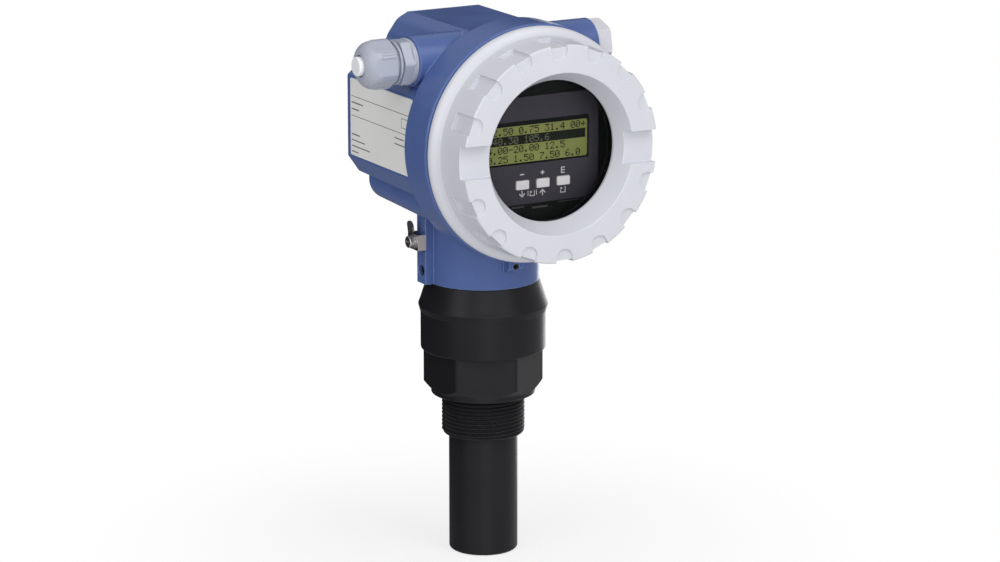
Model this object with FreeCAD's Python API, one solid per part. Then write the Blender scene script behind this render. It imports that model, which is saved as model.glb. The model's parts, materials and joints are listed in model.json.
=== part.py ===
import FreeCAD, Part
import math
import os

# Ultrasonic level transmitter, all lengths in millimetres.
# The origin is the centre of the sealing shoulder under the hexagon, on the sensor axis.
# The display faces -Y, the cable gland points along -X, and +Z is up.

V = FreeCAD.Vector
UP = V(0, 0, 1)
FRONT = V(0, -1, 0)
LEFT = V(-1, 0, 0)
RIGHT = V(1, 0, 0)

# Clearances between pieces
turning_clearance = 0.05
thread_clearance = 0.05
insert_clearance = 0.1
swivel_gap = 0.3
washer_gap = 0.1
key_clearance = 0.2
screw_hole_clearance = 0.2
past = 1.0

# Sensor body: tube, process thread, hexagon and collar in one moulding
tube_r = 19.8
tube_wall = 4.0
insert_length = 93.8
face_thickness = 4.0
face_edge_radius = 2.0
thread_r = 23.9
thread_length = 23.8
thread_chamfer = 1.2
washer_face_height = 2.6
washer_edge_radius = 0.8
hex_across_flats = 60.0
hex_corner_radius = 2.5
hex_chamfer_height = 4.8
hex_chamfer_reach = 4.8
hex_height = 23.6
hex_turn = 4.0
collar_margin = 1.26
collar_height = 22.5
collar_edge_radius = 1.5
head_wall = 4.5
head_floor = 6.0

# Transducer stack and its lead
matching_thickness = 5.0
piezo_gap = 1.8
piezo_thickness = 6.0
backing_thickness = 20.0
lead_r = 2.5
plug_depth = 8.0
plug_flange_thickness = 2.0
plug_flange_overlap = 2.0
plug_flange_edge = 0.5

# Adapter cone between sensor and housing, with the stem that the housing turns on
spigot_depth = 10.0
lip_seat_overhang = 0.35
lip_overhang = 1.3
lip_height = 3.6
lip_edge_radius = 0.8
cone_low_overhang = 0.3
cone_low_height = 6.2
adapter_height = 18.2
stem_r = 24.0
stem_wall = 10.0
lock_groove_depth = 1.5
lock_groove_margin = 1.0
seal_section_r = 1.2
seal_play = 0.2
seal_sink = 0.25
seal_drops = (8.5, 4.0)
retainer_thickness = 1.5
retainer_grip = 1.2
retainer_overhang = 2.6
retainer_mouth = 14.0
retainer_play = 0.2
stem_end = 2.0
stem_edge_radius = 0.5

# Housing casting
drum_above_neck = 20.5
neck_r = 32.4
neck_root_radius = 4.0
ledge_drop = 4.0
ledge_clearance = 0.6
drum_r = 67.5
drum_length = 25.4
neck_overlap = 1.4
drum_edge_radius = 1.2
drum_rear_radius = 2.0
drum_step = 8.0
body_wall = 5.5
rear_depth = 52.0
rear_edge_radius = 7.0
drum_wall = 6.5
cover_bore_spare = 3.0
keel_set_in = 10.9
keel_front_slope = 20.0
keel_rear_slope = 28.0
keel_corner_radius = 12.0
keel_bottom_radius = 8.0
hump_half_width = 37.0
hump_shoulder_half_width = 29.5
hump_flat_half_width = 22.8
hump_rise = 1.1
hump_side_drop = 13.2
hump_shoulder_drop = 3.3
hump_side_radius = 11.0
hump_shoulder_radius = 10.0
hump_setback = 2.0
hump_rear_radius = 4.0
pad_rise = 0.5
pad_slope_top = 6.0
pad_slope_bottom = 10.0
pad_draft = 2.7
pad_below_entry = 18.7
pad_side_bottom = -20.0
pad_shoulder = 7.0
pad_edge_radius = 2.0
entry_set_back = 12.5
entry_set_in = 2.1
entry_boss_r = 14.3
entry_drop = 0.6
entry_boss_edge = 0.8
entry_bore_depth = 30.0
entry_thread_r = 10.0

# Grounding block and swivel locking screws on the neck
block_reach = 5.3
block_width = 10.0
block_middle = 4.2
ground_height = 25.0
ground_screw_r = 2.0
ground_hole_depth = 9.0
ground_tip_play = 1.0
side_lock_height = 7.5
side_lock_r = 3.5
side_lock_recess = 2.0
side_lock_socket = 3.0
front_lock_height = 14.0
front_lock_r = 2.0
front_lock_recess = 0.8
front_lock_socket = 2.0
lock_socket_depth = 3.0
lock_tip_gap = 0.3
lock_tip_radius = 0.5
lock_edge_radius = 0.3
lug_half_width = 4.5
lug_reach = 6.0
lug_drop = 4.0
lug_chamfer = 3.0

# Nameplate on the left pad
plate_thickness = 0.8
plate_front_margin = 1.5
plate_back_margin = 6.5
plate_top_margin = 1.0
plate_bottom_margin = 1.7
plate_corner_radius = 1.0

# Front cover with its window
flange_gap = 0.8
flange_set_in = 0.9
flange_thickness = 3.4
flange_edge_radius = 3.0
flange_back_radius = 0.6
lip_slope_set_in = 3.2
lip_slope_forward = 5.0
lip_blend_radius = 1.5
rim_root_set_in = 4.6
rim_root_forward = 6.6
rim_set_in = 5.5
cover_depth = 32.1
rim_edge_radius = 1.0
rim_face_width = 15.6
bevel_edge_radius = 0.5
bevel_width = 5.8
bevel_depth = 11.7
window_lip_thickness = 1.4
glass_overlap = 6.3
glass_bore_spare = 0.2
spigot_wall = 4.95
cover_cone_depth = 6.5
spigot_length = 13.8
spigot_edge_radius = 0.5
cover_seal_r = 1.6
cover_seal_back = 6.5
cover_seal_play = 0.3
grip_count = 16
grip_turn = 1.9
grip_width = 10.4
grip_length = 8.1
grip_face_depth = 1.2
grip_rim_depth = 1.5
grip_rim_length = 17.8
slot_turn = -1.0
slot_width = 18.6
slot_depth = 5.5
glass_thickness = 6.0
gasket_thickness = 0.5
glass_retainer_height = 2.0
glass_retainer_width = 4.9

# Display module, heights measured from the cover axis
panel_behind_glass = 7.7
panel_thickness = 1.5
panel_side_margin = 10.5
panel_top_margin = 21.0
panel_bottom_margin = 17.4
panel_corner_radius = 2.0
lcd_side_margin = 6.0
lcd_top = 15.0
lcd_bottom = -9.5
lcd_corner_radius = 1.5
lcd_recess = 0.7
lcd_gap = 0.2
board_gap = 5.5
board_thickness = 1.6
pocket_margin = 1.5
board_play = 0.5
holder_gap = 4.5
holder_depth = 14.5
holder_back_radius = 1.0
holder_front_radius = 0.5
pillar_r = 4.0
pillar_length = 16.0
pillar_set_in = 6.0
key_width = 8.3
key_height = 5.2
key_corner_radius = 0.8
key_edge_radius = 0.4
key_pitch = 13.05
key_middle_x = 3.3
key_z = -21.1
key_proud = 1.0
key_flange_margin = 0.9
key_flange_thickness = 0.8
key_stem_r = 1.6
key_travel = 0.5
switch_height = 0.9
switch_size = 4.0
switch_corner_radius = 0.4

# Electronics module and terminals
module_gap = 5.0
module_rear_gap = 6.0
module_front_radius = 1.0
module_back_radius = 2.0
mount_boss_r = 6.0
mount_boss_x = 28.0
mount_boss_y = 24.0
terminal_half_width = 24.0
terminal_depth = 11.0
terminal_top = 4.0
terminal_bottom = -16.0
terminal_count = 6
terminal_pitch = 7.5
terminal_screw_r = 2.4
terminal_screw_height = 2.0
terminal_slot_width = 1.0
terminal_slot_depth = 1.2
terminal_step = 4.0
terminal_corner_radius = 0.6
terminal_screw_z = -4.0

# Cable gland and blanking plug
entry_gasket_thickness = 1.0
entry_gasket_r = 12.6
gland_collar_r = 13.2
gland_collar_length = 1.7
gland_hex_across = 24.0
gland_hex_corner_r = 13.6
gland_hex_turn = 2.6
gland_hex_length = 5.8
gland_shoulder_r = 12.2
gland_shoulder_gap = 0.7
gland_shoulder_length = 1.4
gland_stub_length = 13.0
gland_wall = 2.0
gland_thread_length = 14.6
gland_bore_gap = 1.4
gland_cup_gap = 0.5
gland_cup_depth = 5.0
gland_edge = 0.4
gland_thread_edge = 0.5
gland_seal_wall = 2.5
gland_seal_length = 7.0
gland_seal_end_play = 0.3
nut_gap = 2.0
nut_wall = 3.1
nut_across_flats = 24.6
nut_flat_turn = 32.6
nut_length = 17.7
nut_nose_width = 2.0
nut_nose_length = 3.4
nut_hole_gap = 0.8
nut_thread_depth = 10.5
nut_nose_wall = 2.5
nut_dome_radius = 8.0
nut_base_radius = 0.8
nut_nose_radius = 1.0
pin_r = 5.4
pin_proud = 2.6
pin_tail = 2.5
pin_edge = 0.8
plug_hex_across = 23.4
plug_hex_length = 8.0
plug_hex_edge = 1.0
plug_hex_turn = 18.6
plug_seal_r = 13.4
plug_seal_thickness = 1.2

# Grounding clamp and screw
clamp_sheet = 1.0
clamp_overhang = 1.8
clamp_height = 9.0
clamp_depth = 5.4
clamp_tab_width = 6.5
clamp_tab_rise = 7.0
clamp_tab_radius = 3.0
clamp_tab_lean = 8.0
ground_washer_r = 4.2
ground_washer_thickness = 0.7
ground_head_r = 3.5
ground_head_height = 2.6
ground_head_edge = 0.8
ground_tip_radius = 0.4
ground_cross_width = 0.9
ground_cross_length = 4.2
ground_cross_depth = 1.2

# Sensor and adapter places, heights from the sealing shoulder
tube_bore_r = tube_r - tube_wall
piezo_r = tube_bore_r - piezo_gap
face_inside = face_thickness - insert_length
backing_top = face_inside + matching_thickness + piezo_thickness + backing_thickness
hex_bottom = washer_face_height
hex_top = hex_bottom + hex_height
collar_r = hex_across_flats / math.sqrt(3) + collar_margin
collar_top = hex_top + collar_height
head_bore_r = hex_across_flats / 2 - head_wall
lip_r = collar_r + lip_overhang
cone_low_r = collar_r + cone_low_overhang
adapter_top = collar_top + adapter_height
neck_bottom = adapter_top + swivel_gap
stem_bore_r = stem_r - stem_wall
neck_bore_r = stem_r + turning_clearance
lock_floor_r = stem_r - lock_groove_depth
lock_groove_bottom = neck_bottom + side_lock_height - side_lock_r - lock_groove_depth - lock_groove_margin
lock_groove_top = neck_bottom + front_lock_height + front_lock_r + lock_groove_depth + lock_groove_margin

# Housing places, forward distances from the sensor axis and heights from the cover axis
axis_z = neck_bottom + drum_above_neck + drum_r
drum_rear = neck_r - neck_overlap
drum_front = drum_rear + drum_length
body_r = drum_r - drum_step
cavity_r = body_r - body_wall
cover_bore_r = drum_r - drum_wall
cover_bore_depth = spigot_length - flange_gap + cover_bore_spare
keel_half_width = body_r - keel_set_in
hump_height = body_r + hump_rise
pad_half_width = body_r + pad_rise
entry_height = hump_height - entry_drop - entry_boss_r
pad_side_top = entry_height - pad_below_entry
pad_top = pad_side_top + pad_slope_top
pad_bottom = pad_side_bottom - pad_slope_bottom
entry_forward = drum_rear - entry_set_back
entry_face = body_r - entry_set_in
block_face = neck_r + block_reach
ledge_z = axis_z - cavity_r - ledge_drop
well_top = axis_z - cavity_r / 2
retainer_z = ledge_z + retainer_play
stem_top = retainer_z + retainer_thickness + stem_end
plate_front = drum_rear - plate_front_margin
plate_back = rear_depth - plate_back_margin
plate_top = pad_side_top - plate_top_margin
plate_bottom = pad_side_bottom + plate_bottom_margin

# Cover places
flange_back = drum_front + flange_gap
flange_r = drum_r - flange_set_in
lip_slope_r = flange_r - lip_slope_set_in
rim_root_r = flange_r - rim_root_set_in
rim_r = flange_r - rim_set_in
bevel_r = rim_r - rim_face_width
window_r = bevel_r - bevel_width
cover_front = flange_back + cover_depth
window_lip_forward = cover_front - bevel_depth
glass_seat = window_lip_forward - window_lip_thickness
glass_front = glass_seat - gasket_thickness
glass_back = glass_front - glass_thickness
glass_bore_r = window_r + glass_overlap
glass_bore_start = glass_back - glass_retainer_height - glass_bore_spare
spigot_r = cover_bore_r - turning_clearance
spigot_end = flange_back - spigot_length
cover_inner_r = spigot_r - spigot_wall
cover_inner_start = glass_bore_start - cover_cone_depth
seal_forward = flange_back - cover_seal_back
cover_seal_centre_r = cover_bore_r - cover_seal_play - cover_seal_r
grip_inner_r = rim_r - grip_length
grip_floor_r = rim_r - grip_rim_depth
grip_back = cover_front - grip_rim_length

# Display and electronics places
holder_r = cavity_r - holder_gap
panel_half_width = holder_r - panel_side_margin
panel_top = holder_r - panel_top_margin
panel_bottom = panel_bottom_margin - holder_r
lcd_half_width = panel_half_width - lcd_side_margin
panel_front = glass_back - panel_behind_glass
panel_back = panel_front - panel_thickness
board_front = panel_back - board_gap
board_back = board_front - board_thickness
holder_back = panel_back - holder_depth
module_r = cavity_r - module_gap
module_front = holder_back - pillar_length
module_back = rear_depth - body_wall - module_rear_gap
pillar_offset = module_r - pillar_set_in

# Gland places, outward from the sensor axis
gland_start = entry_face + entry_gasket_thickness
gland_hex_start = gland_start + gland_collar_length
gland_hex_end = gland_hex_start + gland_hex_length
gland_thread_end = gland_hex_end + gland_thread_length
gland_shoulder_start = gland_hex_end + gland_shoulder_gap
gland_shoulder_end = gland_shoulder_start + gland_shoulder_length
gland_seal_start = gland_thread_end - gland_cup_depth + gland_seal_end_play
gland_seal_r = pin_r + gland_seal_wall
gland_bore_r = pin_r + gland_bore_gap
gland_cup_r = gland_seal_r + gland_cup_gap
gland_thread_r = gland_cup_r + gland_wall
nut_start = gland_shoulder_end + nut_gap
nut_end = nut_start + nut_length
nut_r = gland_thread_r + nut_wall
nut_hole_r = pin_r + nut_hole_gap
nut_nose_r = nut_hole_r + nut_nose_width

# Grounding places
clamp_width = block_width + clamp_overhang
clamp_face = block_face + clamp_depth
washer_face = clamp_face + washer_gap
ground_head_face = washer_face + ground_washer_thickness + washer_gap


def outline(points, place):
    """Closed wire through (u, v, corner radius) points, with rounded corners as true arcs."""
    starts = []
    ends = []
    middles = []
    count = len(points)
    for i in range(count):
        here = V(points[i][0], points[i][1], 0)
        before = V(points[i - 1][0], points[i - 1][1], 0) - here
        after = V(points[(i + 1) % count][0], points[(i + 1) % count][1], 0) - here
        radius = points[i][2]
        before.normalize()
        after.normalize()
        half = before.getAngle(after) / 2
        if radius == 0:
            starts.append(here)
            ends.append(here)
            middles.append(None)
            continue
        reach = radius / math.tan(half)
        inward = before + after
        inward.normalize()
        centre = here + inward * (radius / math.sin(half))
        starts.append(here + before * reach)
        ends.append(here + after * reach)
        middles.append(centre - inward * radius)
    edges = []
    for i in range(count):
        if middles[i] is not None:
            edges.append(Part.Arc(place(starts[i]), place(middles[i]), place(ends[i])).toShape())
        following = starts[(i + 1) % count]
        if ends[i].distanceToPoint(following) > 1e-6:
            edges.append(Part.LineSegment(place(ends[i]), place(following)).toShape())
    return Part.Wire(edges)


def turned(points):
    """Solid of revolution about local Z from (radius, height, corner radius) points."""
    wire = outline(points, lambda p: V(p.x, 0, p.y))
    return Part.Face(wire).revolve(V(0, 0, 0), UP, 360)


def prism(points, start, end):
    """Straight extrusion along local Z of an outline in the local XY plane."""
    wire = outline(points, lambda p: V(p.x, p.y, start))
    return Part.Face(wire).extrude(V(0, 0, end - start))


def tapered(start_points, end_points, start, end):
    """Straight-sided solid along local Z between two outlines of as many points."""
    first = outline(start_points, lambda p: V(p.x, p.y, start))
    last = outline(end_points, lambda p: V(p.x, p.y, end))
    return Part.makeLoft([first, last], True, True)


def disc(radius, start, end):
    return Part.makeCylinder(radius, end - start, V(0, 0, start))


def ring(outer_r, inner_r, start, end):
    return disc(outer_r, start, end).cut(disc(inner_r, start - past, end + past))


def block(x0, x1, y0, y1, z0, z1):
    return Part.makeBox(x1 - x0, y1 - y0, z1 - z0, V(x0, y0, z0))


def rectangle(half_width, bottom, top, radius):
    return [
        (-half_width, bottom, radius),
        (half_width, bottom, radius),
        (half_width, top, radius),
        (-half_width, top, radius),
    ]


def hexagon(across_flats, turn, radius=0):
    """Corner points of a hexagon whose first flat faces the given angle."""
    corner = across_flats / math.sqrt(3)
    angles = [math.radians(turn + 30 + 60 * k) for k in range(6)]
    return [(corner * math.cos(a), corner * math.sin(a), radius) for a in angles]


def facing(shape, direction, base):
    """Turns local +Z to a direction and sets the local origin at a base point."""
    turn = FreeCAD.Placement(base, FreeCAD.Rotation(UP, direction))
    shape = shape.copy()
    shape.Placement = turn.multiply(shape.Placement)
    return shape


def on_cover_axis(shape):
    """Local X to the right, local Y up and local Z forward, from the sensor axis."""
    return facing(shape, FRONT, V(0, 0, axis_z))


def on_left_entry(shape):
    return facing(shape, LEFT, V(0, -entry_forward, axis_z + entry_height))


def on_right_entry(shape):
    return facing(shape, RIGHT, V(0, -entry_forward, axis_z + entry_height))


def on_ground_screw(shape):
    return facing(shape, LEFT, V(0, block_middle, neck_bottom + ground_height))


def on_side_lock(shape):
    return facing(shape, LEFT, V(0, block_middle, neck_bottom + side_lock_height))


def on_front_lock(shape):
    return facing(shape, FRONT, V(0, 0, neck_bottom + front_lock_height))


def edges_at_height(shape, height):
    """Edges that lie in the local plane Z = height."""
    found = []
    for edge in shape.Edges:
        box = edge.BoundBox
        if abs(box.ZMin - height) < 1e-4 and abs(box.ZMax - height) < 1e-4:
            found.append(edge)
    return found


def sensor_body():
    washer_face_r = hex_across_flats / 2
    body = turned([
        (0, -insert_length, 0),
        (tube_r, -insert_length, face_edge_radius),
        (tube_r, -thread_length, 0),
        (thread_r - thread_chamfer, -thread_length, 0),
        (thread_r, thread_chamfer - thread_length, 0),
        (thread_r, 0, 0),
        (washer_face_r, 0, washer_edge_radius),
        (washer_face_r, hex_bottom, 0),
        (washer_face_r + hex_chamfer_reach, hex_bottom + hex_chamfer_height, 0),
        (washer_face_r + hex_chamfer_reach, hex_top, 0),
        (collar_r, hex_top, collar_edge_radius),
        (collar_r, collar_top, 0),
        (head_bore_r, collar_top, 0),
        (head_bore_r, head_floor, 0),
        (tube_bore_r, head_floor, 0),
        (tube_bore_r, face_inside, 0),
        (0, face_inside, 0),
    ])
    flats = prism(hexagon(hex_across_flats, hex_turn, hex_corner_radius), hex_bottom - past, hex_top + past)
    waste = disc(washer_face_r + hex_chamfer_reach + past, hex_bottom, hex_top)
    return body.cut(waste.cut(flats))


def matching_layer():
    return disc(tube_bore_r - insert_clearance, face_inside, face_inside + matching_thickness)


def piezo_disc():
    start = face_inside + matching_thickness
    return disc(piezo_r, start, start + piezo_thickness)


def backing_block():
    return disc(tube_bore_r - insert_clearance, backing_top - backing_thickness, backing_top)


def sensor_lead():
    return disc(lead_r, backing_top, stem_top - plug_depth)


def sensor_plug():
    body_r_in_stem = stem_bore_r - insert_clearance
    flange_r_on_stem = stem_bore_r + plug_flange_overlap
    return turned([
        (0, stem_top - plug_depth, 0),
        (body_r_in_stem, stem_top - plug_depth, 0),
        (body_r_in_stem, stem_top, 0),
        (flange_r_on_stem, stem_top, 0),
        (flange_r_on_stem, stem_top + plug_flange_thickness, plug_flange_edge),
        (0, stem_top + plug_flange_thickness, 0),
    ])


def seal_groove(drop):
    """Groove round the stem for one O-ring."""
    half = seal_section_r + seal_play
    middle = ledge_z - drop
    floor_r = stem_r - seal_sink - 2 * seal_section_r
    return ring(stem_r + past, floor_r, middle - half, middle + half)


def housing_adapter():
    spigot_r_in_head = head_bore_r - insert_clearance
    adapter = turned([
        (stem_bore_r, collar_top - spigot_depth, 0),
        (spigot_r_in_head, collar_top - spigot_depth, 0),
        (spigot_r_in_head, collar_top, 0),
        (collar_r + lip_seat_overhang, collar_top, 0),
        (lip_r, collar_top + lip_height, lip_edge_radius),
        (cone_low_r, collar_top + cone_low_height, 0),
        (neck_r, adapter_top, 0),
        (stem_r, adapter_top, 0),
        (stem_r, lock_groove_bottom, 0),
        (lock_floor_r, lock_groove_bottom + lock_groove_depth, 0),
        (lock_floor_r, lock_groove_top - lock_groove_depth, 0),
        (stem_r, lock_groove_top, 0),
        (stem_r, stem_top, stem_edge_radius),
        (stem_bore_r, stem_top, 0),
    ])
    for drop in seal_drops:
        adapter = adapter.cut(seal_groove(drop))
    groove_top = retainer_z + retainer_thickness
    return adapter.cut(ring(stem_r + past, stem_r - retainer_grip, retainer_z, groove_top))


def swivel_seals():
    centre_r = stem_r - seal_sink - seal_section_r
    rings = []
    for drop in seal_drops:
        rings.append(Part.makeTorus(centre_r, seal_section_r, V(0, 0, ledge_z - drop)))
    return Part.makeCompound(rings)


def retaining_ring():
    outer_r = stem_r + retainer_overhang
    inner_r = stem_r - retainer_grip + insert_clearance
    whole = ring(outer_r, inner_r, retainer_z, retainer_z + retainer_thickness)
    half = retainer_mouth / 2
    mouth = block(-half, half, 0, outer_r + past, retainer_z - past, retainer_z + retainer_thickness + past)
    return whole.cut(mouth)


def pad_points(draft):
    """Section through both flat sides of the casting, its bottom lowered by a draft."""
    outer = pad_half_width
    inner = outer - pad_shoulder
    low_inner = inner - draft * pad_shoulder / pad_slope_bottom
    low = pad_bottom - draft
    return [
        (-outer, pad_side_bottom, pad_edge_radius),
        (-low_inner, low, pad_edge_radius),
        (low_inner, low, pad_edge_radius),
        (outer, pad_side_bottom, pad_edge_radius),
        (outer, pad_side_top, pad_edge_radius),
        (inner, pad_top, pad_edge_radius),
        (-inner, pad_top, pad_edge_radius),
        (-outer, pad_side_top, pad_edge_radius),
    ]


def housing_pads():
    """Flat sides of the casting, one of them behind the nameplate."""
    pads = tapered(pad_points(0), pad_points(pad_draft), -rear_depth, drum_rear + past)
    return pads.makeFillet(pad_edge_radius, edges_at_height(pads, -rear_depth))


def housing_hump():
    """Flat-topped ridge over the rear of the casting, with sloping shoulders."""
    side = hump_height - hump_side_drop
    shoulder = hump_height - hump_shoulder_drop
    points = [
        (-hump_half_width, 0, 0),
        (hump_half_width, 0, 0),
        (hump_half_width, side, hump_side_radius),
        (hump_shoulder_half_width, shoulder, hump_shoulder_radius),
        (hump_flat_half_width, hump_height, 0),
        (-hump_flat_half_width, hump_height, 0),
        (-hump_shoulder_half_width, shoulder, hump_shoulder_radius),
        (-hump_half_width, side, hump_side_radius),
    ]
    back = hump_setback - rear_depth
    hump = prism(points, back, drum_rear + past)
    return hump.makeFillet(hump_rear_radius, edges_at_height(hump, back))


def keel_points(slope):
    """Section of the lower casting, whose bottom rises outward at a slope and clears the cavity."""
    flat = body_r * math.tan(math.radians(slope) / 2)
    corner = (keel_half_width - flat) * math.tan(math.radians(slope)) - body_r
    return [
        (-keel_half_width, corner, keel_corner_radius),
        (-flat, -body_r, keel_bottom_radius),
        (flat, -body_r, keel_bottom_radius),
        (keel_half_width, corner, keel_corner_radius),
        (keel_half_width, 0, 0),
        (-keel_half_width, 0, 0),
    ]


def housing_keel():
    """Lower half of the rear casting, with straight sides and rounded corners."""
    sections = (keel_points(keel_rear_slope), keel_points(keel_front_slope))
    keel = tapered(*sections, -rear_depth, drum_rear + past)
    return keel.makeFillet(rear_edge_radius, edges_at_height(keel, -rear_depth))


def housing_lug():
    """Small lug on the front of the neck, for the front locking screw."""
    front = neck_r + lug_reach
    bottom = neck_bottom + front_lock_height - lug_drop
    top = axis_z - (drum_r + cover_bore_r) / 2
    wire = outline(
        [
            (-stem_r - past, bottom, 0),
            (lug_chamfer - front, bottom, 0),
            (-front, bottom + lug_chamfer, 0),
            (-front, top, 0),
            (-stem_r - past, top, 0),
        ],
        lambda p: V(-lug_half_width, p.x, p.y),
    )
    return Part.Face(wire).extrude(V(2 * lug_half_width, 0, 0))


def neck_root_edges(shell):
    """Edges where the neck runs into the belly and the drum."""
    found = []
    for edge in shell.Edges:
        if edge.Degenerated:
            continue
        points = edge.discretize(Number=5)
        on_neck = all(abs(math.hypot(p.x, p.y) - neck_r) < 1e-3 for p in points)
        if on_neck and edge.BoundBox.ZMin > neck_bottom + neck_root_radius:
            found.append(edge)
    return found


def housing_outside():
    drum = turned([
        (0, drum_rear, 0),
        (drum_r, drum_rear, drum_rear_radius),
        (drum_r, drum_front, drum_edge_radius),
        (0, drum_front, 0),
    ])
    body = turned([
        (0, -rear_depth, 0),
        (body_r, -rear_depth, rear_edge_radius),
        (body_r, drum_rear + past, 0),
        (0, drum_rear + past, 0),
    ])
    below = block(-drum_r, drum_r, -drum_r, pad_side_bottom, -rear_depth - past, drum_rear + 2 * past)
    entry_boss = turned([
        (0, 0, 0),
        (entry_boss_r, 0, 0),
        (entry_boss_r, entry_face, entry_boss_edge),
        (0, entry_face, 0),
    ])
    neck = disc(neck_r, neck_bottom, well_top)
    ground_block = block(
        -block_face,
        -stem_r,
        block_middle - block_width / 2,
        block_middle + block_width / 2,
        neck_bottom,
        well_top,
    )
    shell = on_cover_axis(drum)
    for piece in (body.cut(below), housing_keel(), housing_hump(), housing_pads()):
        shell = shell.fuse(on_cover_axis(piece))
    shell = shell.fuse(on_left_entry(entry_boss))
    shell = shell.fuse(on_right_entry(entry_boss))
    shell = shell.fuse(neck)
    shell = shell.makeFillet(neck_root_radius, neck_root_edges(shell))
    shell = shell.fuse(ground_block)
    shell = shell.fuse(housing_lug())
    return shell.removeSplitter()


def housing():
    shell = housing_outside()
    rear_inside = body_wall - rear_depth
    boss_root = rear_depth - body_wall / 2
    bore_floor = drum_front - cover_bore_depth
    entry_bore = disc(entry_thread_r, entry_face - entry_bore_depth, entry_face + past)
    ground_hole_r = ground_screw_r + thread_clearance
    side_hole_r = side_lock_r + thread_clearance
    front_hole_r = front_lock_r + thread_clearance
    counterbore_r = stem_r + retainer_overhang + ledge_clearance
    cuts = [
        on_cover_axis(disc(cavity_r, rear_inside, drum_front)),
        on_cover_axis(disc(cover_bore_r, bore_floor, drum_front + past)),
        on_left_entry(entry_bore),
        on_right_entry(entry_bore),
        disc(neck_bore_r, neck_bottom - past, well_top),
        disc(counterbore_r, ledge_z, well_top),
        on_ground_screw(disc(ground_hole_r, block_face - ground_hole_depth, block_face + past)),
        on_side_lock(disc(side_hole_r, lock_floor_r, block_face + past)),
        on_front_lock(disc(front_hole_r, lock_floor_r, neck_r + lug_reach + past)),
    ]
    for tool in cuts:
        shell = shell.cut(tool)
    for x in (-mount_boss_x, mount_boss_x):
        for y in (-mount_boss_y, mount_boss_y):
            boss = Part.makeCylinder(mount_boss_r, boss_root - module_back, V(x, y, -boss_root))
            shell = shell.fuse(on_cover_axis(boss))
    return shell.removeSplitter()


def nameplate():
    plate = prism(
        [
            (plate_bottom, -plate_front, plate_corner_radius),
            (plate_top, -plate_front, plate_corner_radius),
            (plate_top, plate_back, plate_corner_radius),
            (plate_bottom, plate_back, plate_corner_radius),
        ],
        pad_half_width,
        pad_half_width + plate_thickness,
    )
    return facing(plate, LEFT, V(0, 0, axis_z))


def grip_pocket():
    """Thumb recess over the front corner of the cover, cut at angle zero."""
    half = grip_width / 2
    reach = flange_r
    face_floor = cover_front - grip_face_depth
    round_end = Part.makeCylinder(half, grip_face_depth + past, V(grip_inner_r + half, 0, face_floor))
    on_face = block(grip_inner_r + half, reach, -half, half, face_floor, cover_front + past)
    on_rim = block(grip_floor_r, reach, -half, half, grip_back, cover_front + past)
    return round_end.fuse(on_face).fuse(on_rim)


def bar_slot():
    """Radial slot for a bar across the cover, cut at angle zero."""
    half = slot_width / 2
    return block(window_r, flange_r, -half, half, cover_front - slot_depth, cover_front + past)


def front_cover():
    cover = turned([
        (cover_inner_r, spigot_end, 0),
        (spigot_r, spigot_end, spigot_edge_radius),
        (spigot_r, flange_back, 0),
        (flange_r, flange_back, flange_back_radius),
        (flange_r, flange_back + flange_thickness, flange_edge_radius),
        (lip_slope_r, flange_back + lip_slope_forward, lip_blend_radius),
        (rim_root_r, flange_back + rim_root_forward, lip_blend_radius),
        (rim_r, cover_front, rim_edge_radius),
        (bevel_r, cover_front, bevel_edge_radius),
        (window_r, window_lip_forward, 0),
        (window_r, glass_seat, 0),
        (glass_bore_r, glass_seat, 0),
        (glass_bore_r, glass_bore_start, 0),
        (cover_inner_r, cover_inner_start, 0),
    ])
    seal_half = cover_seal_r + cover_seal_play
    groove_floor = cover_seal_centre_r - cover_seal_r - cover_seal_play
    groove = ring(spigot_r + past, groove_floor, seal_forward - seal_half, seal_forward + seal_half)
    cover = cover.cut(groove)
    for k in range(grip_count):
        angle = k * 360 / grip_count
        if k % (grip_count // 2) == 0:
            tool = bar_slot()
            tool.rotate(V(0, 0, 0), UP, slot_turn + angle)
        else:
            tool = grip_pocket()
            tool.rotate(V(0, 0, 0), UP, grip_turn + angle)
        cover = cover.cut(tool)
    return on_cover_axis(cover)


def cover_seal():
    return on_cover_axis(Part.makeTorus(cover_seal_centre_r, cover_seal_r, V(0, 0, seal_forward)))


def window_glass():
    return on_cover_axis(disc(glass_bore_r - insert_clearance, glass_back, glass_front))


def glass_gasket():
    return on_cover_axis(ring(glass_bore_r - insert_clearance, window_r, glass_front, glass_seat))


def glass_retainer():
    outer_r = glass_bore_r - insert_clearance
    inner_r = outer_r - glass_retainer_width
    return on_cover_axis(ring(outer_r, inner_r, glass_back - glass_retainer_height, glass_back))


def key_places():
    return [(key_middle_x + k * key_pitch, key_z) for k in (-1, 0, 1)]


def around(x, z, width, height, radius):
    """Rounded rectangle about a middle point."""
    return [
        (x - width / 2, z - height / 2, radius),
        (x + width / 2, z - height / 2, radius),
        (x + width / 2, z + height / 2, radius),
        (x - width / 2, z + height / 2, radius),
    ]


def key_outline(x, z, margin):
    width = key_width + 2 * margin
    height = key_height + 2 * margin
    return around(x, z, width, height, key_corner_radius + margin)


def display_panel():
    edge = rectangle(panel_half_width, panel_bottom, panel_top, panel_corner_radius)
    opening = rectangle(lcd_half_width, lcd_bottom, lcd_top, lcd_corner_radius)
    panel = prism(edge, panel_back, panel_front)
    panel = panel.cut(prism(opening, panel_back - past, panel_front + past))
    for x, z in key_places():
        panel = panel.cut(prism(key_outline(x, z, key_clearance), panel_back - past, panel_front + past))
    return on_cover_axis(panel)


def lcd_module():
    half = lcd_half_width - lcd_gap
    edge = rectangle(half, lcd_bottom + lcd_gap, lcd_top - lcd_gap, lcd_corner_radius - lcd_gap)
    return on_cover_axis(prism(edge, board_front, panel_front - lcd_recess))


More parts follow.
